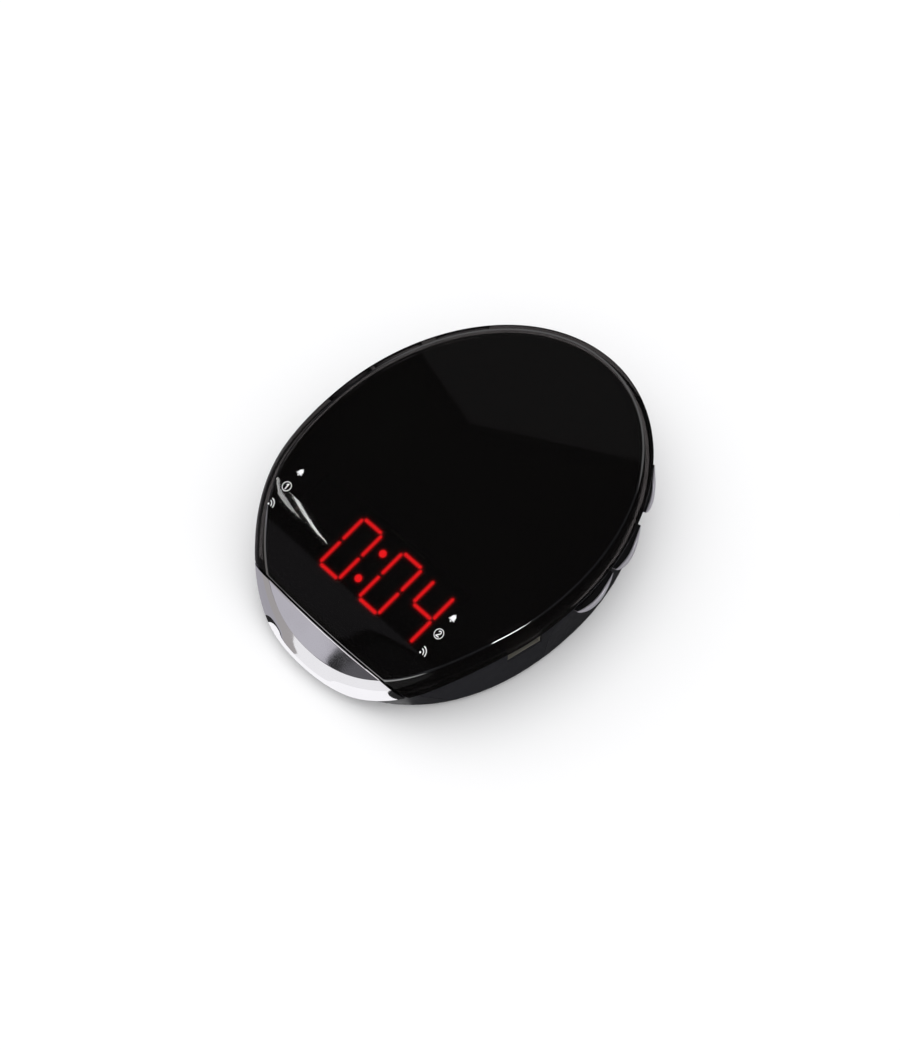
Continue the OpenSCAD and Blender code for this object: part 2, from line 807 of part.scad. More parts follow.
module speaker_screws() {
    color("#8d8f94")
    for (a = [30, 150, 270])
        translate([0, speaker_y, floor_z + 2.1])
        rotate([0, 0, a])
        translate([speaker_d / 2 + 2.6, 0, 0])
        cylinder(r = 2.4, h = 1.3, $fn = 32);
}

module speaker_leads() {
    color("#8c1f1f")
    for (s = sides)
        translate([s * 2.2 + 16, speaker_y + 12, floor_z + 6.4])
        cylinder(r = 0.6, h = board_z - board_t - floor_z - 6.5, $fn = 16);
}

module backup_cells() {
    color("#5f7d57")
    for (s = sides)
        translate([s * cell_gap / 2, cell_y - cell_l / 2, floor_z + cell_d / 2 + 0.3])
        rotate([-90, 0, 0])
        union() {
            translate([0, 0, s > 0 ? 0 : 0.9]) cylinder(d = cell_d, h = cell_l - 0.9, $fn = 64);
            translate([0, 0, s > 0 ? cell_l - 1 : 0]) cylinder(r = 1.9, h = 1, $fn = 32);
        }
}

module cell_springs() {
    color("#c9cacd")
    for (s = sides)
        translate([s * cell_gap / 2, cell_y - s * (cell_l / 2 + 1.03), floor_z + cell_d / 2 + 0.3])
        rotate([-90, 0, 0])
        for (i = [0:2])
            translate([0, 0, (i - 1) * 0.6])
            rotate_extrude($fn = 48)
            translate([2.6 + 0.7 * (s > 0 ? i : 2 - i), 0])
            circle(r = 0.34, $fn = 16);
}

module cell_plates() {
    color("#c9cacd")
    for (s = sides)
        translate([-bay_half_w + 1, cell_y + s * (bay_half_l - 0.25) - 0.2, floor_z + 1])
        cube([2 * bay_half_w - 2, 0.4, 8.4]);
}

// The door follows the base's rear edge, so that the outline stays whole
module battery_door() {
    y0 = cell_y - bay_half_l - 2;
    color("#3a3b3f")
    difference() {
        intersection() {
            translate([-door_half_w, y0, base_z]) cube([2 * door_half_w, 70, door_t]);
            base_form(0);
        }
        for (i = [0:5]) translate([-7, y0 + 34 + i * 2, base_z - 0.1]) cube([14, 0.9, 0.5]);
    }
}

module right_or_left(side) {
    mirror([side > 0 ? 0 : 1, 0, 0]) children();
}

window_cover();
window_legends();
upper_chassis();
snooze_bar();
snooze_switch();
snooze_stem();
base_housing();
side_panel(1);  // side_panel_right
side_panel(-1);  // side_panel_left
rubber_feet();
housing_screws();
right_or_left(1) button_cap(button_angles[0]);  // button_right_front
right_or_left(1) button_cap(button_angles[1]);  // button_right_middle
right_or_left(1) button_cap(button_angles[2]);  // button_right_rear
right_or_left(-1) button_cap(button_angles[0]);  // button_left_front
right_or_left(-1) button_cap(button_angles[1]);  // button_left_middle
right_or_left(-1) button_cap(button_angles[2]);  // button_left_rear
right_or_left(1) button_carrier(button_angles[0]);  // carrier_right_front
right_or_left(1) button_carrier(button_angles[1]);  // carrier_right_middle
right_or_left(1) button_carrier(button_angles[2]);  // carrier_right_rear
right_or_left(-1) button_carrier(button_angles[0]);  // carrier_left_front
right_or_left(-1) button_carrier(button_angles[1]);  // carrier_left_middle
right_or_left(-1) button_carrier(button_angles[2]);  // carrier_left_rear
right_or_left(1) side_switch(button_angles[0]);  // switch_right_front
right_or_left(1) side_switch(button_angles[1]);  // switch_right_middle
right_or_left(1) side_switch(button_angles[2]);  // switch_right_rear
right_or_left(-1) side_switch(button_angles[0]);  // switch_left_front
right_or_left(-1) side_switch(button_angles[1]);  // switch_left_middle
right_or_left(-1) side_switch(button_angles[2]);  // switch_left_rear
main_board();
clock_chip();
tuner_can();
capacitors();
quartz_crystal();
heat_sink();
usb_shell();
usb_tongue();
dc_jack();
dc_jack_pin();
aerial_grommet();
display_board();
display_module();
digits_lit();
digits_dark();
colon_dots();
indicator_lamps();
display_ribbon();
speaker_basket();
speaker_magnet();
speaker_cone();
speaker_screws();
speaker_leads();
backup_cells();
cell_springs();
cell_plates();
battery_door();
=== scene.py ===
"""Looks for a pebble-shaped clock radio.

A smoked window over a red display, a chrome snooze bar, silver side buttons and a textured base.
"""

import math

import bmesh
import bpy
from mathutils import Matrix, Vector


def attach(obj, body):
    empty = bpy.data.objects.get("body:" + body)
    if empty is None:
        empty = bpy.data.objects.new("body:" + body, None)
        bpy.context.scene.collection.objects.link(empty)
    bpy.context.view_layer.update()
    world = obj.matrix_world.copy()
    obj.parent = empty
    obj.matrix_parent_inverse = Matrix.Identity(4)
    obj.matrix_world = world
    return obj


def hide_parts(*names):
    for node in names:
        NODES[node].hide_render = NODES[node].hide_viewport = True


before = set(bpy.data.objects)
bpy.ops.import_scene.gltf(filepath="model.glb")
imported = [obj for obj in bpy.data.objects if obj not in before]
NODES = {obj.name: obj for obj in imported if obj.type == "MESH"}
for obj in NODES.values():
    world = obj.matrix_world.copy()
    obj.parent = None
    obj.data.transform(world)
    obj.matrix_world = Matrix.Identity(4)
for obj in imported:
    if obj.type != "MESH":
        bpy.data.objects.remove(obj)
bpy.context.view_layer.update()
MM = 0.001

# ---------------------------------------------------------------- body form, in millimetres, as in the CAD

HALF_W = 58.4
BACK_REACH = 76.3
FRONT_REACH = 74.1
FRONT_ROUND = 2.2
WIDEST_Y = (FRONT_REACH - BACK_REACH) / 2

TOP_H = 32.9
TOP_TILT = math.radians(1.3)
SLOPE = math.radians(39.5)
BEND_R = 42.0
BEND_Y = -29.1
SLOPE_Y = BEND_Y - BEND_R * (math.sin(SLOPE) - math.sin(TOP_TILT))
SLOPE_H = TOP_H - BEND_R * (math.cos(TOP_TILT) - math.cos(SLOPE))

RIM_IN = 3.9
RIM_H = 4.6
RIM_PULL = 2.3      # length of the rim curve's handle at the crease
RIM_FALL = 1.5      # drop of its other handle, which makes its lower end upright
CREASE = math.radians(14)
SKIRT_DROP = 6.2
SKIRT_IN = 0.45
COVER_T = 2.2

CUT_AT = -63.7
CUT_BOW = 0.6
CUT_GAP = 0.5
BAR_LOW = 3.4
BAR_NOSE = 4.4
BAR_T = 2.0


def edge(t, ins):
    """Outline point at parameter angle t (radians), set in from the edge."""
    c, s = math.cos(t), math.sin(t)
    n = 2.0 if s >= 0 else FRONT_ROUND
    reach = (BACK_REACH if s >= 0 else FRONT_REACH) - ins
    x = (HALF_W - ins) * math.copysign(abs(c) ** (2 / n), c)
    y = WIDEST_Y + reach * math.copysign(abs(s) ** (2 / n), s)
    return x, y


def edge_dir(t_deg):
    """Direction of the outline's outward normal, in radians, at parameter angle t (degrees)."""
    a = edge(math.radians(t_deg - 0.5), 0)
    b = edge(math.radians(t_deg + 0.5), 0)
    return math.atan2(a[0] - b[0], b[1] - a[1])


def top_z(y):
    """Height of the top surface: nearly level, then a bend, then the slope at the front."""
    if y >= BEND_Y:
        return TOP_H + (y - BEND_Y) * math.tan(TOP_TILT)
    if y >= SLOPE_Y:
        s = (BEND_Y - y) / BEND_R + math.sin(TOP_TILT)
        return TOP_H - BEND_R * (math.cos(TOP_TILT) - math.sqrt(1 - s * s))
    return SLOPE_H - (SLOPE_Y - y) * math.tan(SLOPE)


def rim_point(k):
    """Rim profile from the crease, k = 0, to its upright lower part, k = 1, as set-in and drop."""
    u = 1 - k
    in1, drop1 = RIM_IN - RIM_PULL * math.cos(CREASE), -RIM_PULL * math.sin(CREASE)
    return (u ** 3 * RIM_IN + 3 * u * u * k * in1,
            3 * u * u * k * drop1 - 3 * u * k * k * RIM_FALL - k ** 3 * RIM_H)


def cut_y(dz, side):
    """Where the cut between window (side = 1) and bar (side = -1) is, dz from the top surface."""
    return CUT_AT - dz * math.sin(SLOPE) * math.cos(SLOPE) + side * CUT_GAP / 2 * math.cos(SLOPE)


def corner(ins, y):
    """Parameter angle at which the front of the outline reaches y."""
    return math.asin(((WIDEST_Y - y) / (FRONT_REACH - ins)) ** (FRONT_ROUND / 2))


# ---------------------------------------------------------------- mesh helpers

def new_mesh(name, verts, faces, sharp=35.0, smooth=True):
    """A mesh object from millimetre points, smooth except over edges sharper than the angle."""
    me = bpy.data.meshes.new(name)
    me.from_pydata([tuple(c * MM for c in v) for v in verts], [], faces)
    me.update()
    bm = bmesh.new()
    bm.from_mesh(me)
    bmesh.ops.recalc_face_normals(bm, faces=bm.faces)
    limit = math.radians(sharp)
    for f in bm.faces:
        f.smooth = smooth
    for e in bm.edges:
        if len(e.link_faces) == 2:
            e.smooth = e.calc_face_angle(0) < limit
    bm.to_mesh(me)
    bm.free()
    ob = bpy.data.objects.new(name, me)
    bpy.context.scene.collection.objects.link(ob)
    return ob


def skin(rings, caps=True):
    """Points and quads through closed rings of equal length, with flat end caps when asked."""
    n = len(rings[0])
    verts = [p for r in rings for p in r]
    faces = []
    for r in range(len(rings) - 1):
        for i in range(n):
            j = (i + 1) % n
            faces.append((r * n + i, r * n + j, (r + 1) * n + j, (r + 1) * n + i))
    if caps:
        faces.append(tuple(range(n - 1, -1, -1)))
        faces.append(tuple((len(rings) - 1) * n + i for i in range(n)))
    return verts, faces


def dress(ob, look):
    ob.data.materials.clear()
    ob.data.materials.append(look)


# ---------------------------------------------------------------- smoked window

ARC_STATIONS = 240
CUT_STATIONS = 56
CUT_ROUND = 0.3
CREASE_ROUND = 0.32
CREASE_STEPS = 6
FLAT_STEPS = 24
RIM_STEPS = 24
RIM_START = 0.05    # the rim goes on from here, past the crease's round
RIM_CROWD = 1.1     # above 1, the rings lie closer together near the crease
SKIRT_T = 1.7

# Rings below the rim, outside and then inside: set-in, height from the top surface, hold-back from the cut
SKIRT_RINGS = (
    (0.1, -RIM_H - 0.6, 0.0), (0.25, -RIM_H - 1.2, 0.0), (SKIRT_IN - 0.06, -SKIRT_DROP + 0.15, 0.0),
    (SKIRT_IN + 0.1, -SKIRT_DROP, 0.0), (SKIRT_IN + SKIRT_T, -SKIRT_DROP, SKIRT_T),
    (SKIRT_IN + SKIRT_T, -RIM_H, SKIRT_T), (RIM_IN - 0.3, -COVER_T - 0.5, 1.9),
)
CEILING_IN, CEILING_LIP = RIM_IN + 0.6, 2.2


def cover_ring(ins, dz, lip=0.0, k=1.0):
    """One closed ring of the window: round the sides and back, then along the cut."""
    depth = max(0.0, min(1.0, 1 + dz / CUT_ROUND)) if lip == 0 else 0.0
    set_back = CUT_ROUND * (1 - math.sqrt(max(0.0, 1 - depth * depth)))
    y0 = cut_y(dz, 1) + lip + set_back
    a = corner(ins, y0)
    x0 = edge(-a, ins)[0]
    pts = []
    for i in range(ARC_STATIONS + 1):
        pts.append(edge(-a + i * (math.pi + 2 * a) / ARC_STATIONS, ins))
    for i in range(1, CUT_STATIONS):
        x = x0 * (2 * i / CUT_STATIONS - 1)
        pts.append((x, y0 - CUT_BOW * (1 - (x / x0) ** 2)))
    return [(x * k, y * k, top_z(y * k) + dz) for x, y in pts]


def crease_point(t):
    """Small round between the flat top, t = 0, and the start of the rim, t = 1."""
    far = CREASE_ROUND * t * t
    return RIM_IN + CREASE_ROUND * (1 - t) ** 2 - far * math.cos(CREASE), -far * math.sin(CREASE)


def make_window():
    rows = [cover_ring(RIM_IN, 0, k=k / FLAT_STEPS) for k in range(1, FLAT_STEPS)]
    edge_from = len(rows)
    rows += [cover_ring(*crease_point(step / CREASE_STEPS)) for step in range(CREASE_STEPS + 1)]
    edge_to = len(rows) - 1
    for step in range(1, RIM_STEPS + 1):
        rows.append(cover_ring(*rim_point(RIM_START + (1 - RIM_START) * (step / RIM_STEPS) ** RIM_CROWD)))
    rows += [cover_ring(*ring) for ring in SKIRT_RINGS]
    rows += [cover_ring(CEILING_IN, -COVER_T, CEILING_LIP, k=k / FLAT_STEPS) for k in range(FLAT_STEPS, 0, -1)]
    verts, faces = skin(rows, caps=False)
    n = len(rows[0])
    tip = len(verts)
    verts += [(0, 0, top_z(0)), (0, 0, top_z(0) - COVER_T)]
    last = (len(rows) - 1) * n
    for i in range(n):
        j = (i + 1) % n
        faces += [(j, i, tip), (last + i, last + j, tip + 1)]
    ob = new_mesh("window_smoked", verts, faces, sharp=40)
    dress(ob, SMOKED)
    ob.data.materials.append(POLISHED)
    for i, face in enumerate(ob.data.polygons):
        if edge_from <= i // n < edge_to:
            face.material_index = 1
    return ob


# ---------------------------------------------------------------- chrome snooze bar

BAR_COLUMNS = 220
BAR_TOP_ROWS = 20
BAR_INNER_ROWS = 4
BAR_RIM_STEPS = 24
BAR_RIM_CROWD = 1.15
BLEND_R = 1.0
BLEND_SINK = 0.12
BAR_INNER = 1.2                     # set-in of the bar's inner crease from its outer one
EDGE_ROLL = ((-0.3, 0.0), (-0.1, 0.03), (-0.02, 0.12))  # height and hold-back of the rows at the cut
TOP_BACK = 0.3                      # hold-back of the first row on top
LOW_EDGE_IN, LOW_EDGE_UP = 0.4, 0.1
LOW_INNER_UP = 0.4
END_TURN = math.radians(0.4)        # how far the front rows stop short of the cut
END_GAP = 0.4                       # how far the rows at the cut stop short of the sides
SOFT_EDGE_UP, SOFT_EDGE_MIX = 0.25, 0.65


def soft_max(a, b):
    """The larger of two heights, with a round where they cross."""
    return 0.5 * (a + b + math.sqrt((a - b) ** 2 + BLEND_R ** 2)) - BLEND_SINK


def bar_row(ins, dz):
    """A row along the bar's front, from one end of the cut to the other."""
    a = corner(ins, cut_y(dz, -1)) + END_TURN
    sweep = math.pi - 2 * a
    low = BAR_LOW + BAR_NOSE * (1 + dz / SKIRT_DROP)
    out = []
    for i in range(BAR_COLUMNS + 1):
        x, y = edge(math.pi + a + i * sweep / BAR_COLUMNS, ins)
        out.append((x, y, soft_max(top_z(y) + dz, low)))
    return out


def bar_cut_row(ins, dz, back=0.0):
    """A row along the cut, held back from it."""
    y0 = cut_y(dz, -1) - back
    x0 = edge(-corner(ins, y0), ins)[0] - END_GAP
    out = []
    for i in range(BAR_COLUMNS + 1):
        x = x0 * (2 * i / BAR_COLUMNS - 1)
        y = y0 - CUT_BOW * (1 - (x / x0) ** 2)
        out.append((x, y, top_z(y) + dz))
    return out


def between(near, far, k, dz):
    """A row k of the way from one row to another, dz from the top surface."""
    out = []
    for p, q in zip(near, far):
        x, y = p[0] * (1 - k) + q[0] * k, p[1] * (1 - k) + q[1] * k
        out.append((x, y, soft_max(top_z(y), BAR_LOW + BAR_NOSE) + dz))
    return out


def low_row(ins, up):
    """A row along the bar's lower edge, raised a little."""
    return [(x, y, max(top_z(y) - SKIRT_DROP, BAR_LOW) + up) for x, y, z in bar_row(ins, -SKIRT_DROP)]


def make_bar():
    crease = bar_row(RIM_IN, 0)
    inner_crease = bar_row(RIM_IN + BAR_INNER, -BAR_T)
    rows = [bar_cut_row(RIM_IN, dz, back) for dz, back in EDGE_ROLL]
    front = bar_cut_row(RIM_IN, 0, TOP_BACK)
    rows += [between(front, crease, k / BAR_TOP_ROWS, 0) for k in range(BAR_TOP_ROWS)]
    rows.append(bar_row(RIM_IN + 0.2, 0))
    for step in range(BAR_RIM_STEPS + 1):
        rows.append(bar_row(*rim_point((step / BAR_RIM_STEPS) ** BAR_RIM_CROWD)))
    low_edge = low_row(SKIRT_IN + LOW_EDGE_IN, LOW_EDGE_UP)
    low_inner = low_row(SKIRT_IN + SKIRT_T, LOW_INNER_UP)
    part = SOFT_EDGE_MIX
    soft_edge = [(p[0] * (1 - part) + q[0] * part, p[1] * (1 - part) + q[1] * part, q[2] + SOFT_EDGE_UP)
                 for p, q in zip(rows[-1], low_edge)]
    inner_wall = bar_row(SKIRT_IN + SKIRT_T + 0.2, -2 * BAR_T)
    rows += [soft_edge, low_edge, low_inner, inner_wall, inner_crease]
    inner_front = bar_cut_row(RIM_IN + BAR_INNER, -BAR_T)
    rows += [between(inner_front, inner_crease, k / BAR_INNER_ROWS, -BAR_T)
             for k in range(BAR_INNER_ROWS - 1, 0, -1)]
    rows.append(inner_front)
    columns = [[r[i] for r in rows] for i in range(len(rows[0]))]
    verts, faces = skin(columns)
    return new_mesh("snooze_bar_chrome", verts, faces, sharp=40)


# ---------------------------------------------------------------- materials

NOISE_LOW, NOISE_HIGH = 0.3, 0.7    # nearly all of the noise lies between these


def node(tree, kind, **values):
    n = tree.nodes.new(kind)
    for k, v in values.items():
        setattr(n, k, v)
    return n


def material(name, color, rough, metallic=0.0, **more):
    """A principled material with noise in its colour, roughness and bump.

    tint and gloss give a noise size in metres and a part of the value; grain gives a size and a depth.
    """
    m = bpy.data.materials.new(name)
    m.use_nodes = True
    t = m.node_tree
    b = t.nodes["Principled BSDF"]
    b.inputs["Metallic"].default_value = metallic
    for socket, value in more.get("sockets", {}).items():
        b.inputs[socket].default_value = value
    point = node(t, "ShaderNodeTexCoord").outputs["Object"]

    def noise(size, detail):
        n = node(t, "ShaderNodeTexNoise")
        n.inputs["Scale"].default_value = 1.0 / size
        n.inputs["Detail"].default_value = detail
        t.links.new(point, n.inputs["Vector"])
        return n.outputs["Fac"]

    def remap(value, low, high):
        r = node(t, "ShaderNodeMapRange")
        ends = (("From Min", NOISE_LOW), ("From Max", NOISE_HIGH), ("To Min", low), ("To Max", high))
        for socket, number in ends:
            r.inputs[socket].default_value = number
        t.links.new(value, r.inputs["Value"])
        return r.outputs["Result"]

    tint_size, tint = more.get("tint", (0.012, 0.06))
    mix = node(t, "ShaderNodeMix", data_type="RGBA")
    mix.inputs["A"].default_value = [c * (1 - tint) for c in color] + [1]
    mix.inputs["B"].default_value = [min(1, c * (1 + tint)) for c in color] + [1]
    t.links.new(remap(noise(tint_size, 3), 0, 1), mix.inputs["Factor"])
    t.links.new(mix.outputs["Result"], b.inputs["Base Color"])
    gloss_size, spread = more.get("gloss", (0.006, 0.15))
    uneven_gloss = remap(noise(gloss_size, 4), rough * (1 - spread), min(1, rough * (1 + spread)))
    t.links.new(uneven_gloss, b.inputs["Roughness"])
    if "grain" in more:
        size, depth = more["grain"]
        bump = node(t, "ShaderNodeBump")
        bump.inputs["Strength"].default_value = more.get("grain_strength", 0.6)
        bump.inputs["Distance"].default_value = depth
        t.links.new(noise(size, more.get("grain_detail", 2)), bump.inputs["Height"])
        t.links.new(bump.outputs["Normal"], b.inputs["Normal"])
    return m


def brushed(name, color, rough, direction=(1, 12, 12), metallic=1.0):
    """Metal with fine lines across one direction."""
    m = material(name, color, rough, metallic, tint=(0.01, 0.05), gloss=(0.004, 0.2))
    t = m.node_tree
    stretch = node(t, "ShaderNodeMapping")
    stretch.inputs["Scale"].default_value = direction
    lines = node(t, "ShaderNodeTexNoise")
    lines.inputs["Scale"].default_value = 700
    lines.inputs["Detail"].default_value = 3
    bump = node(t, "ShaderNodeBump")
    bump.inputs["Strength"].default_value = 0.25
    bump.inputs["Distance"].default_value = 0.00003
    t.links.new(t.nodes["Texture Coordinate"].outputs["Object"], stretch.inputs["Vector"])
    t.links.new(stretch.outputs["Vector"], lines.inputs["Vector"])
    t.links.new(lines.outputs["Fac"], bump.inputs["Height"])
    t.links.new(bump.outputs["Normal"], t.nodes["Principled BSDF"].inputs["Normal"])
    return m


SMOKED = material("smoked_window", (0.055, 0.05, 0.05), 0.02, tint=(0.05, 0.03), gloss=(0.02, 0.5),
                  sockets={"Transmission Weight": 0.96, "IOR": 1.2})
POLISHED = material("polished_edge", (0.006, 0.006, 0.007), 0.04, tint=(0.05, 0.03), gloss=(0.02, 0.3),
                    sockets={"IOR": 3.0})
PRINT = material("white_print", (0.85, 0.85, 0.86), 0.5, tint=(0.0006, 0.06), grain=(0.0002, 0.00001))
CHROME = material("bright_chrome", (0.83, 0.82, 0.85), 0.045, 1.0, tint=(0.02, 0.02), gloss=(0.008, 0.35),
                  grain=(0.006, 0.00001), grain_strength=0.25)
BASE = material("base_textured", (0.027, 0.027, 0.031), 0.5, tint=(0.003, 0.1), gloss=(0.002, 0.12),
                grain=(0.00035, 0.00006), grain_strength=0.55, grain_detail=3)
PANEL = material("panel_satin", (0.022, 0.022, 0.026), 0.34, tint=(0.02, 0.05), gloss=(0.004, 0.1),
                 grain=(0.0006, 0.000006), grain_strength=0.2)
BUTTON = material("button_silver", (0.66, 0.64, 0.70), 0.36, 0.5, tint=(0.0004, 0.04), gloss=(0.003, 0.2),
                  grain=(0.0004, 0.000012), grain_strength=0.4)
# Black inner plastic, also put on the scoops of the side buttons as painted shade
INNER_AND_PAINTED_SHADE = material("inner_moulding_and_painted_shade", (0.012, 0.012, 0.013), 0.6, grain=(0.0006, 0.00005))
SWITCH = material("switch_plastic", (0.02, 0.02, 0.022), 0.45, grain=(0.0005, 0.00002))
RUBBER = material("foot_rubber", (0.02, 0.02, 0.02), 0.85, tint=(0.002, 0.2), grain=(0.0003, 0.00008))
ZINC = brushed("zinc_steel", (0.62, 0.63, 0.66), 0.32)
BOARD = material("board_mask", (0.012, 0.075, 0.032), 0.3, tint=(0.004, 0.15), grain=(0.0015, 0.00003))
CHIP = material("chip_epoxy", (0.014, 0.014, 0.016), 0.55, grain=(0.0003, 0.00002))
TIN = brushed("tinned_can", (0.70, 0.71, 0.72), 0.28)
SLEEVE = material("cap_sleeve", (0.02, 0.045, 0.16), 0.25, grain=(0.003, 0.00003))
ALUMINIUM = brushed("extruded_aluminium", (0.60, 0.61, 0.63), 0.35, (12, 12, 1))
NICKEL = brushed("nickel_shell", (0.30, 0.285, 0.24), 0.36, (12, 1, 12), 0.45)
BRASS = material("plated_pin", (0.80, 0.66, 0.38), 0.2, 1.0, grain=(0.001, 0.00001))
DISPLAY = material("display_face", (0.010, 0.010, 0.011), 0.5, grain=(0.0004, 0.00002))
DIGIT_OFF = material("digit_unlit", (0.012, 0.004, 0.004), 0.4, grain=(0.0004, 0.00001))
AMBER = material("lamp_amber", (0.60, 0.26, 0.05), 0.25, tint=(0.002, 0.15))
RIBBON = material("ribbon_flat", (0.45, 0.44, 0.40), 0.4, grain=(0.0006, 0.00004))
BASKET = material("basket_paint", (0.10, 0.105, 0.11), 0.4, 0.3, grain=(0.0007, 0.00003))
MAGNET = material("magnet_plate", (0.05, 0.05, 0.053), 0.45, 0.6, grain=(0.0005, 0.00003))
CONE = material("cone_paper", (0.018, 0.018, 0.02), 0.9, tint=(0.001, 0.25), grain=(0.0005, 0.00015))
LEAD = material("lead_sleeve", (0.20, 0.012, 0.012), 0.4, grain=(0.0008, 0.00003))
JACKET = material("cell_jacket", (0.07, 0.16, 0.06), 0.3, 0.2, tint=(0.004, 0.1))

LED_RED = (1.0, 0.012, 0.016, 1)
DIGIT = material("digit_lit", (0.10, 0.008, 0.006), 0.5, tint=(0.0008, 0.1),
                 sockets={"Emission Color": LED_RED, "Emission Strength": 1.0})

LOOKS = {
    "window_legends": PRINT, "upper_chassis": INNER_AND_PAINTED_SHADE, "snooze_switch": SWITCH, "snooze_stem": SWITCH,
    "base_housing": BASE, "side_panel_right": PANEL, "side_panel_left": PANEL, "rubber_feet": RUBBER,
    "housing_screws": ZINC, "main_board": BOARD, "clock_chip": CHIP, "tuner_can": TIN, "capacitors": SLEEVE,
    "quartz_crystal": TIN, "heat_sink": ALUMINIUM, "usb_shell": NICKEL, "usb_tongue": CHIP, "dc_jack": SWITCH,
    "dc_jack_pin": BRASS, "aerial_grommet": RUBBER, "display_board": BOARD, "display_module": DISPLAY,
    "digits_lit": DIGIT, "digits_dark": DIGIT_OFF, "colon_dots": DIGIT, "indicator_lamps": AMBER,
    "display_ribbon": RIBBON, "speaker_basket": BASKET, "speaker_magnet": MAGNET, "speaker_cone": CONE,
    "speaker_screws": ZINC, "speaker_leads": LEAD, "backup_cells": JACKET, "cell_springs": ZINC,
    "cell_plates": ZINC, "battery_door": BASE, "window_cover": SMOKED, "snooze_bar": CHROME,
}

for name, ob in NODES.items():
    look = LOOKS.get(name)
    if look is None:
        look = BUTTON if name.startswith("button_") else SWITCH
    dress(ob, look)

window = make_window()
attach(window, "housing")
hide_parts("window_cover")

bar = make_bar()
dress(bar, CHROME)
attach(bar, "snooze_bar")
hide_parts("snooze_bar")

# ---------------------------------------------------------------- silver side buttons

BUTTON_ANGLES = (("front", 4.9), ("middle", 20.6), ("rear", 40.2))
BUTTON_L = 19.4
BUTTON_H = 7.0
RECESS_H = 3.9
BUTTON_TOP = 26.5
BULGE = 1.9
SWING = 27.0        # radius of the cap's front, seen from above
SECTIONS = 64
LIP_STEPS = 8
FULL_HEIGHT = 2.6   # where the crescent is lower than this, its lip shrinks with it
LOWER_R = (1.5, 1.1)    # the lip's lower round, as depth and height
UPPER_R = (0.6, 0.45)   # its upper round
CAP_BACK = -2.5
SHIELD_BACK = -1.7
SHIELD_LOW = -0.4
SCOOP = (1.3, 1.9)      # how far the scoop goes in and down from the lip
PAINTED_SHADE_FACES = 5     # the last faces round each section: the scoop above the lip and its shield, which take the black material as painted shade in the recess


def moon_z(u, depth):
    """Height of a crescent's curve, from the straight line between its tips, at u along it."""
    return -depth * (1 - abs(u) ** 2.2) ** 0.7


def cap_section(u):
    """Section of a cap at u, from -1 to 1 along it: distance out, place along and height of each point."""
    v = u * BUTTON_L / 2
    low, high = moon_z(u, BUTTON_H) + 0.02, moon_z(u * 0.999, RECESS_H) - 0.02
    out = BULGE - SWING + math.sqrt(SWING ** 2 - v * v)
    fat = min(1.0, (high - low) / FULL_HEIGHT)
    ring = [(CAP_BACK, v, BUTTON_TOP + low)]
    for k in range(LIP_STEPS + 1):
        a = math.pi / 2 * k / LIP_STEPS
        ring.append((out - LOWER_R[0] * fat * (1 - math.sin(a)), v,
                     BUTTON_TOP + low + LOWER_R[1] * fat * (1 - math.cos(a))))
    for k in range(LIP_STEPS + 1):
        a = math.pi * k / LIP_STEPS
        ring.append((out - UPPER_R[0] * fat * (1 - math.cos(a)), v,
                     BUTTON_TOP + high - UPPER_R[1] * fat * (1 - math.sin(a))))
    # The scoop and the shield, a sheet behind it that closes the recess, are coloured black as painted shade
    scoop = BUTTON_TOP + high - SCOOP[1] * fat
    shield = BUTTON_TOP + max(high + 0.01, SHIELD_LOW)
    ring += [(max(out - SCOOP[0] * fat, SHIELD_BACK + 0.2), v, scoop), (SHIELD_BACK, v, scoop - 0.02),
             (SHIELD_BACK - 0.05, v, shield), (CAP_BACK, v, shield)]
    return ring


def make_button(name, angle, side):
    """A crescent, round in section, that stands out most in the middle and thins towards its ends."""
    spot = edge(math.radians(angle), 0)
    turn = edge_dir(angle)
    rings = []
    for i in range(SECTIONS + 1):
        u = max(-0.992, min(0.992, math.sin(math.pi * (i / SECTIONS - 0.5))))
        placed = []
        for x, y, z in cap_section(u):
            wx = spot[0] + x * math.cos(turn) - y * math.sin(turn)
            wy = spot[1] + x * math.sin(turn) + y * math.cos(turn)
            placed.append((wx * side, wy, z))
        rings.append(placed)
    verts, faces = skin(rings)
    ob = new_mesh("cap_" + name, verts, faces, sharp=50)
    dress(ob, BUTTON)
    ob.data.materials.append(INNER_AND_PAINTED_SHADE)
    count = len(rings[0])
    # The scoop and shield faces take the black material: painted shade in the recess under the skirt
    for i, face in enumerate(ob.data.polygons):
        if i < SECTIONS * count and i % count >= count - PAINTED_SHADE_FACES:
            face.material_index = 1
    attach(ob, "button_" + name)
    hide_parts("button_" + name)


for side_name, side in (("right", 1), ("left", -1)):
    for spot_name, angle in BUTTON_ANGLES:
        make_button(side_name + "_" + spot_name, angle, side)

# ---------------------------------------------------------------- printed marks on the window

MARK_SIZE = 1.35
MARK_LIFT = (0.01, 0.05)    # underside and top of the print above the window
MARK_PLACES = (
    (-41.8, -33.6, "bell"), (-41.8, -40.2, "one"), (-41.8, -47.1, "radio"),
    (33.8, -36.7, "bell"), (33.8, -43.3, "two"), (33.8, -50.0, "radio"),
)


def stroke(points, width):
    """Quads along a line with a round dot at each of its points."""
    shapes = []
    for (ax, ay), (bx, by) in zip(points, points[1:]):
        length = math.hypot(bx - ax, by - ay)
        ox, oy = -(by - ay) / length * width / 2, (bx - ax) / length * width / 2
        shapes.append([(ax - ox, ay - oy), (bx - ox, by - oy), (bx + ox, by + oy), (ax + ox, ay + oy)])
    for x, y in points:
        shapes.append(disc(x, y, width / 2, 12))
    return shapes


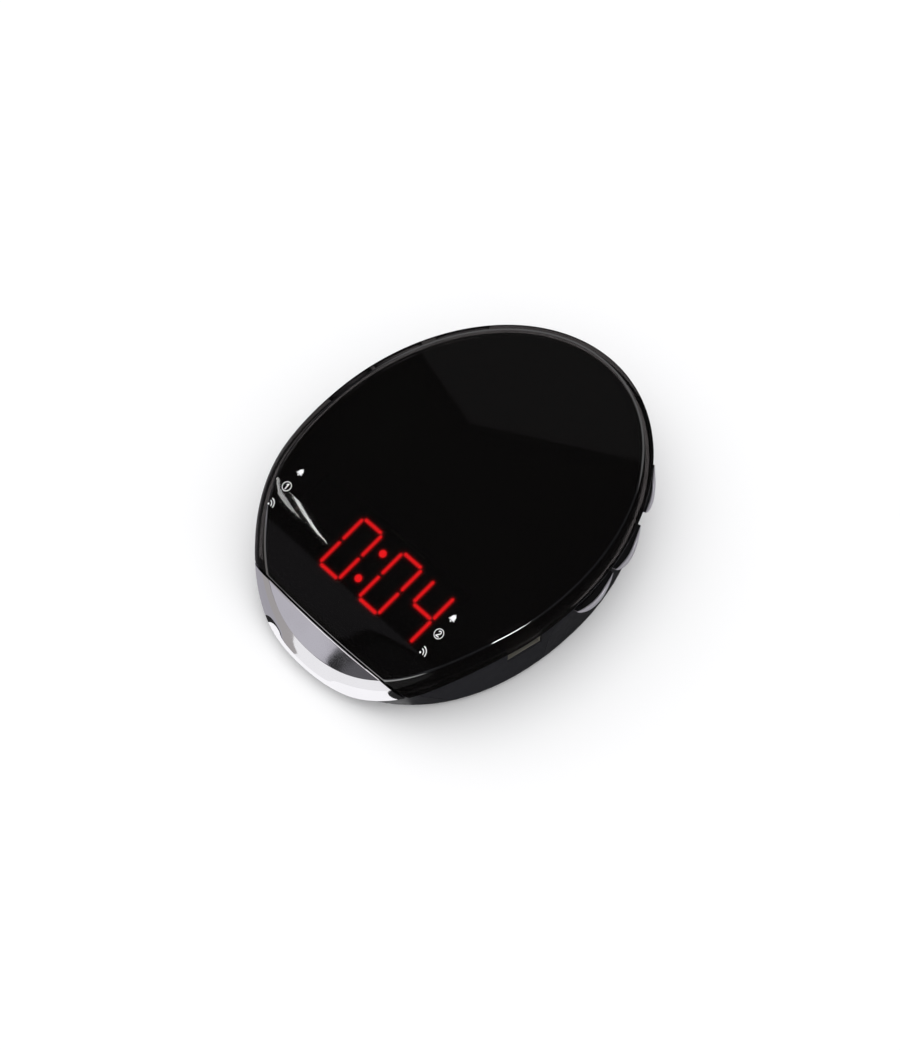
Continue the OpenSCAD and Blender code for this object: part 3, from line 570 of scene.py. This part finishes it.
def disc(x, y, r, n=20):
    turns = [2 * math.pi * i / n for i in range(n)]
    return [(x + r * math.cos(a), y + r * math.sin(a)) for a in turns]


def arc(x, y, r, start, stop, n=10):
    steps = [math.radians(start + (stop - start) * i / n) for i in range(n + 1)]
    return [(x + r * math.cos(a), y + r * math.sin(a)) for a in steps]


def icon(kind):
    """Shapes of a bell, of radio waves or of a circled digit, each about two units across."""
    if kind == "bell":
        dome = arc(0, 0.2, 0.62, 0, 180)
        body = [(0.95, -0.62), (0.66, -0.3)] + dome + [(-0.66, -0.3), (-0.95, -0.62)]
        return [body, disc(0, -0.92, 0.2), disc(0, 0.9, 0.14)]
    if kind == "radio":
        x, y = -0.75, -0.7
        return [disc(x, y, 0.22)] + stroke(arc(x, y, 0.85, 0, 90), 0.24) + stroke(arc(x, y, 1.5, 0, 90), 0.24)
    digit = {"one": [(-0.3, 0.35), (0.1, 0.7), (0.1, -0.7)],
             "two": arc(0, 0.32, 0.36, 160, -30) + [(-0.38, -0.66), (0.42, -0.66)]}[kind]
    return stroke(digit, 0.24) + stroke(arc(0, 0, 1.18, 0, 360, 28), 0.16)


def make_marks():
    verts, faces = [], []
    for x0, y0, kind in MARK_PLACES:
        for shape in icon(kind):
            first = len(verts)
            n = len(shape)
            for lift in MARK_LIFT:
                for u, v in shape:
                    y = y0 + v * MARK_SIZE
                    verts.append((x0 + u * MARK_SIZE, y, top_z(y) + lift))
            faces.append([first + n + i for i in range(n)])
            faces.append([first + n - 1 - i for i in range(n)])
            for i in range(n):
                j = (i + 1) % n
                faces.append((first + i, first + j, first + n + j, first + n + i))
    return new_mesh("window_marks", verts, faces, smooth=False)


marks = make_marks()
dress(marks, PRINT)
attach(marks, "housing")
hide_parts("window_legends")

# ---------------------------------------------------------------- soft glow over the lit segments

DISPLAY_AT = Vector((-1.7, -40.6, 25.0))
DISPLAY_TURN = Matrix.Rotation(math.radians(20), 3, "X")

# Radius round a shape's centre line, and the glow's strength there
BAR_RINGS = ((0.0, 12.0), (0.32, 10.5), (0.55, 6.0), (0.75, 2.4),
             (0.92, 0.8), (1.2, 0.25), (1.7, 0.07), (2.4, 0.0))
DOT_RINGS = ((0.0, 14.0), (1.1, 12.5), (1.35, 6.5), (1.5, 2.2),
             (1.7, 0.6), (2.1, 0.15), (2.6, 0.05), (3.2, 0.0))
BAR_END = 0.75      # from a bar's tip to the centre of its glow's round end
DOT_LIMIT = 4.0     # a lit shape shorter than this is a dot
GLOW_LIFT = 0.05
GLOW_STEP = 0.004   # each glow lies a little above the last, so that none share a plane
GLOW_POINTS = 32


def glow_material():
    """Transparent, with emission added as strong as the mesh's glow attribute says."""
    m = bpy.data.materials.new("digit_glow")
    m.use_nodes = True
    t = m.node_tree
    t.nodes.clear()
    strength = node(t, "ShaderNodeAttribute", attribute_name="glow")
    speck = node(t, "ShaderNodeTexNoise")
    speck.inputs["Scale"].default_value = 1600
    uneven = node(t, "ShaderNodeMapRange")
    uneven.inputs["To Min"].default_value = 0.9
    uneven.inputs["To Max"].default_value = 1.1
    power = node(t, "ShaderNodeMath", operation="MULTIPLY")
    light = node(t, "ShaderNodeEmission")
    light.inputs["Color"].default_value = LED_RED
    clear = node(t, "ShaderNodeBsdfTransparent")
    both = node(t, "ShaderNodeAddShader")
    end = node(t, "ShaderNodeOutputMaterial")
    t.links.new(speck.outputs["Fac"], uneven.inputs["Value"])
    t.links.new(strength.outputs["Fac"], power.inputs[0])
    t.links.new(uneven.outputs["Result"], power.inputs[1])
    t.links.new(power.outputs["Value"], light.inputs["Strength"])
    t.links.new(clear.outputs["BSDF"], both.inputs[0])
    t.links.new(light.outputs["Emission"], both.inputs[1])
    t.links.new(both.outputs["Shader"], end.inputs["Surface"])
    return m


GLOW = glow_material()


def islands(bm):
    """The vertices of each separate solid."""
    seen = set()
    for start in bm.verts:
        if start in seen:
            continue
        part, todo = [], [start]
        seen.add(start)
        while todo:
            v = todo.pop()
            part.append(v)
            for e in v.link_edges:
                w = e.other_vert(v)
                if w not in seen:
                    seen.add(w)
                    todo.append(w)
        yield part


def lit_shapes(name):
    """Each lit shape of a display part as its centre line, in display coordinates, with its face height."""
    ob = NODES[name]
    bm = bmesh.new()
    bm.from_mesh(ob.data)
    bmesh.ops.remove_doubles(bm, verts=bm.verts, dist=1e-6)
    found = []
    for part in islands(bm):
        local = [DISPLAY_TURN.inverted() @ (ob.matrix_world @ v.co / MM - DISPLAY_AT) for v in part]
        face = max(p.z for p in local)
        flat = [p.xy for p in local if p.z > face - 0.02]
        a, b = max(((p, q) for p in flat for q in flat), key=lambda pq: (pq[0] - pq[1]).length)
        along = b - a
        trim = along / 2 if along.length < DOT_LIMIT else along.normalized() * BAR_END
        found.append((a + trim, b - trim, face))
    bm.free()
    return found


def make_glow(name, source, rings):
    """Stadium-shaped rings round each lit shape's centre line, with the glow's strength on their points."""
    verts, faces, level = [], [], []
    count = GLOW_POINTS
    for number, (a, b, face) in enumerate(lit_shapes(source)):
        turn = math.atan2((b - a).y, (b - a).x) if (b - a).length > 0.01 else 0.0
        first = len(verts)
        for radius, power_here in rings:
            for i in range(count):
                angle = turn - math.pi / 2 + 2 * math.pi * i / count
                home = b if i < count // 2 else a
                p = home + Vector((math.cos(angle), math.sin(angle))) * max(radius, 0.01)
                height = face + GLOW_LIFT + GLOW_STEP * number
                verts.append(tuple(DISPLAY_AT + DISPLAY_TURN @ Vector((p.x, p.y, height))))
                level.append(power_here)
        for r in range(len(rings) - 1):
            for i in range(count):
                j = (i + 1) % count
                low = first + r * count
                faces.append((low + i, low + j, low + count + j, low + count + i))
        faces.append(tuple(first + i for i in range(count)))
    ob = new_mesh(name, verts, faces, smooth=False)
    attribute = ob.data.attributes.new("glow", "FLOAT", "POINT")
    attribute.data.foreach_set("value", level)
    dress(ob, GLOW)
    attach(ob, "housing")
    ob.visible_shadow = False


make_glow("glow_digits", "digits_lit", BAR_RINGS)
make_glow("glow_colon", "colon_dots", DOT_RINGS)

# ---------------------------------------------------------------- floor, light and camera, in metres

FLOOR_HALF = 30
CEILING_Z = 1.5
CARD_FRONT = -1.15
CARD_LEFT = -1.3
CARD_SPLIT = 0.50       # height between the low and the high front cards
CARD_TOP = 1.0
FLOOR_CARD_Z = 0.0008
FLOOR_CARD_FRONT = -1.14
LAVENDER, WARM = (0.95, 0.93, 1.0), (1.0, 0.96, 0.94)
FILL_AT = Vector((0, 0.1, 2.0))

floor_me = bpy.data.meshes.new("floor")
floor_me.from_pydata([(x * FLOOR_HALF, y * FLOOR_HALF, 0) for x, y in ((-1, -1), (1, -1), (1, 1), (-1, 1))],
                     [], [(0, 1, 2, 3)])
floor = bpy.data.objects.new("floor", floor_me)
bpy.context.scene.collection.objects.link(floor)
FLOOR = material("floor_paper", (0.93, 0.93, 0.93), 0.95, tint=(0.5, 0.01), sockets={"Specular IOR Level": 0.0})
dress(floor, FLOOR)
floor.visible_glossy = False


def lamp(name, at, size, radiance):
    """A rectangular lamp facing straight down, given by its radiance, which is what a glossy surface shows."""
    data = bpy.data.lights.new(name, "AREA")
    data.shape = "RECTANGLE"
    data.size, data.size_y = size
    data.energy = radiance * math.pi * size[0] * size[1]
    ob = bpy.data.objects.new(name, data)
    ob.location = at
    bpy.context.scene.collection.objects.link(ob)
    ob.visible_camera = False
    return ob


def strip(name, x, y, size, radiance):
    """A lamp that shows in gloss and doesn't light matt surfaces."""
    lamp(name, (x, y, CEILING_Z), size, radiance).visible_diffuse = False


def card(name, corners, radiance, color=(1, 1, 1)):
    """A flat glowing card that only gloss can see."""
    me = bpy.data.meshes.new(name)
    me.from_pydata(corners, [], [tuple(range(len(corners)))])
    ob = bpy.data.objects.new(name, me)
    bpy.context.scene.collection.objects.link(ob)
    paper = bpy.data.materials.new(name)
    paper.use_nodes = True
    tree = paper.node_tree
    tree.nodes.clear()
    shine = node(tree, "ShaderNodeEmission")
    shine.inputs["Color"].default_value = list(color) + [1]
    shine.inputs["Strength"].default_value = radiance
    last = node(tree, "ShaderNodeOutputMaterial")
    tree.links.new(shine.outputs["Emission"], last.inputs["Surface"])
    dress(ob, paper)
    for ray in ("camera", "diffuse", "transmission", "shadow", "volume_scatter"):
        setattr(ob, "visible_" + ray, False)


def front_card(name, x0, x1, z0, z1, radiance, color=(1, 1, 1)):
    corners = [(x, CARD_FRONT, z) for x, z in ((x0, z0), (x1, z0), (x1, z1), (x0, z1))]
    card(name, corners, radiance, color)


def flat_card(name, z, points, radiance, color=(1, 1, 1)):
    card(name, [(x, y, z) for x, y in points], radiance, color)


fill = lamp("fill_overhead", FILL_AT, (2.6, 2.6), 0.75)
fill.rotation_euler = (-FILL_AT).to_track_quat("-Z", "Y").to_euler()
fill.visible_glossy = False
strip("rim_strip", -0.13, 0.17, (0.13, 0.46), 12)
strip("streak_wide", -0.785, -0.60, (0.026, 0.46), 36)
strip("streak_thin", -0.735, -0.66, (0.014, 0.38), 72)
flat_card("ceiling_card", CEILING_Z,
          [(-0.658, 0.633), (0.3, 1.166), (0.3, 2.6), (-1.9, 2.6), (-1.9, 0.972)], 0.34)
front_card("front_card_high", CARD_LEFT, -0.456, 0.576, CARD_TOP, 0.55, LAVENDER)
front_card("front_card_mid", CARD_LEFT, -0.456, CARD_SPLIT, 0.576, 0.36, WARM)
front_card("front_card_right", -0.436, -0.30, CARD_SPLIT, CARD_TOP, 0.11, LAVENDER)
front_card("front_card_low", -0.50, 0.12, 0, CARD_SPLIT, 0.95)
front_card("front_card_low_left", CARD_LEFT, -0.50, 0, CARD_SPLIT, 0.40, WARM)
flat_card("floor_card", FLOOR_CARD_Z,
          [(-0.012, -0.05), (0.036, -0.05), (0.12, FLOOR_CARD_FRONT), (-0.50, FLOOR_CARD_FRONT)], 1.1)
flat_card("floor_card_left", FLOOR_CARD_Z,
          [(-0.013, -0.045), (-0.51, FLOOR_CARD_FRONT), (CARD_LEFT, FLOOR_CARD_FRONT), (CARD_LEFT, 0.2),
           (-0.065, 0.0)], 0.42, LAVENDER)
left_corners = ((CARD_FRONT, 0), (0.2, 0), (0.2, CARD_TOP), (CARD_FRONT, CARD_TOP))
card("left_card", [(CARD_LEFT, y, z) for y, z in left_corners], 0.30, LAVENDER)

# The world shows pale to the camera and lights matt surfaces, but is dark to gloss and behind the window
world = bpy.data.worlds.new("studio")
bpy.context.scene.world = world
world.use_nodes = True
wt = world.node_tree
wt.nodes.clear()


def sky(level):
    n = node(wt, "ShaderNodeBackground")
    n.inputs["Color"].default_value = (level, level, level * 1.01, 1)
    return n.outputs["Background"]


def pick_sky(factor, no, yes):
    n = node(wt, "ShaderNodeMixShader")
    wt.links.new(factor, n.inputs["Fac"])
    wt.links.new(no, n.inputs[1])
    wt.links.new(yes, n.inputs[2])
    return n.outputs["Shader"]


path = node(wt, "ShaderNodeLightPath")
seen = pick_sky(path.outputs["Is Camera Ray"], sky(0.88), sky(0.90))
in_gloss = pick_sky(path.outputs["Is Glossy Ray"], seen, sky(0.022))
inside = pick_sky(path.outputs["Is Transmission Ray"], in_gloss, sky(0.03))
out = node(wt, "ShaderNodeOutputWorld")
wt.links.new(inside, out.inputs["Surface"])

AZ, EL, DISTANCE = math.radians(44.61), math.radians(60.0), 0.650
TARGET = Vector((0.00364, -0.00759, 0.020))
LENS, SENSOR = 65.29714, 36.0
toward = Vector((math.sin(AZ) * math.cos(EL), -math.cos(AZ) * math.cos(EL), math.sin(EL)))
cam_data = bpy.data.cameras.new("camera")
cam_data.sensor_width = SENSOR
cam_data.lens = LENS
cam_data.clip_start, cam_data.clip_end = 0.01, 50
cam = bpy.data.objects.new("camera", cam_data)
cam.location = TARGET + toward * DISTANCE
cam.rotation_euler = (-toward).to_track_quat("-Z", "Y").to_euler()
bpy.context.scene.collection.objects.link(cam)
bpy.context.scene.camera = cam
bpy.context.scene.view_settings.view_transform = "Standard"
